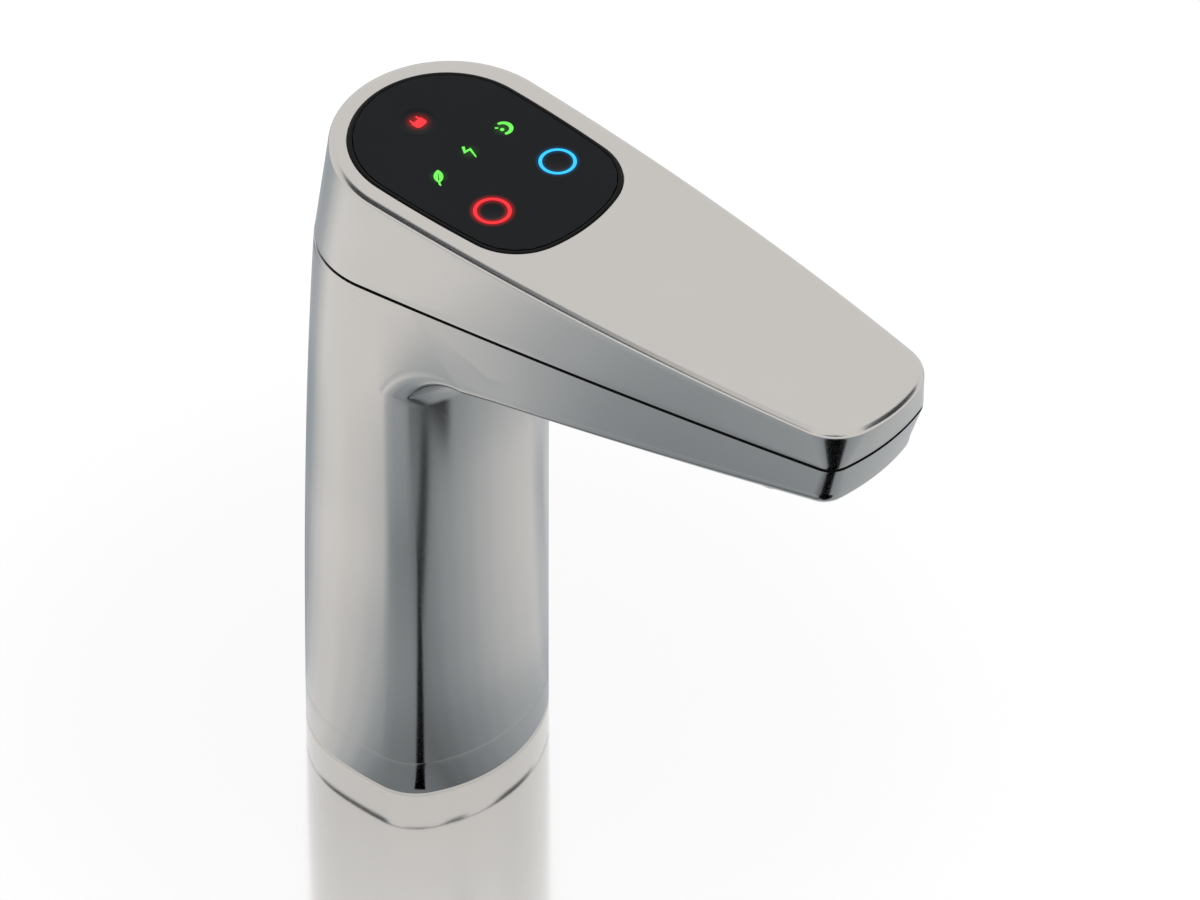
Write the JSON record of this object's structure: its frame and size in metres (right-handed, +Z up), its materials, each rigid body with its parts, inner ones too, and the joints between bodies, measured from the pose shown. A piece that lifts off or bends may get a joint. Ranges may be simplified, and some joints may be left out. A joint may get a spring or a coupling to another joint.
{
  "type": "boiling water tap",
  "caption": "Pillar tap with a tapered arm, a touch panel in its top and one outlet under its nose, for boiling and chilled water; it turns on a spigot clamped through a worktop.",
  "frame": {"origin": "on the swivel axis, at the face of the worktop", "axes": "+Z up along the swivel axis, -Y along the arm towards the outlet, +X to the right seen from behind the tap"},
  "size_m": [0.0614, 0.1873, 0.278],
  "materials": {
    "satin_nickel": "satin nickel plating",
    "brass": "turned brass",
    "black_rubber": "moulded rubber",
    "plain_steel": "zinc plated",
    "steel_screws": "machined",
    "acetal": "moulded acetal",
    "panel_seal": "gloss black silicone",
    "touch_panel": "gloss dark",
    "red_lens": "lit red",
    "blue_lens": "lit blue",
    "white_plastic": "moulded",
    "dark_plastic": "moulded",
    "circuit_board": "solder mask",
    "led_body": "clear epoxy",
    "lead_jacket": "PVC jacket",
    "copper": "drawn copper",
    "steel_tube": "drawn stainless"
  },
  "bodies": {
    "worktop_fixing": {"spigot": "brass", "worktop_seal": "black_rubber", "clamp_rubber": "black_rubber", "clamp_washer": "plain_steel", "backnut": "brass", "thrust_washer": "acetal", "friction_ring": "black_rubber"},
    "tap_head": {"base_ring": "satin_nickel", "lower_bush": "acetal", "upper_bush": "acetal", "swivel_stop_screw": "steel_screws", "base_screws": "steel_screws", "body_shell": "satin_nickel", "seam_gasket": "black_rubber", "top_cover": "satin_nickel", "cover_screws": "steel_screws", "panel_seal": "panel_seal", "touch_panel": "touch_panel", "boiling_ring_lens": "red_lens", "chilled_ring_lens": "blue_lens", "light_frame": "white_plastic", "frame_screws": "steel_screws", "touch_board": "circuit_board", "board_screws": "steel_screws", "indicator_leds": "led_body", "board_connector": "white_plastic", "signal_lead": "lead_jacket", "lead_socket": "white_plastic", "boiling_tube": "copper", "chilled_tube": "steel_tube", "tube_clip": "dark_plastic", "clip_screws": "steel_screws", "outlet_manifold": "brass", "flow_straightener": "steel_tube", "nozzle_seal": "black_rubber", "outlet_nozzle": "satin_nickel"}
  },
  "joints": [
    {"name": "swivel", "type": "hinge", "parent": "worktop_fixing", "child": "tap_head", "pos_m": [0, 0, 0.02], "axis": [0, 0, 1], "range_deg": [-60, 60]}
  ]
}
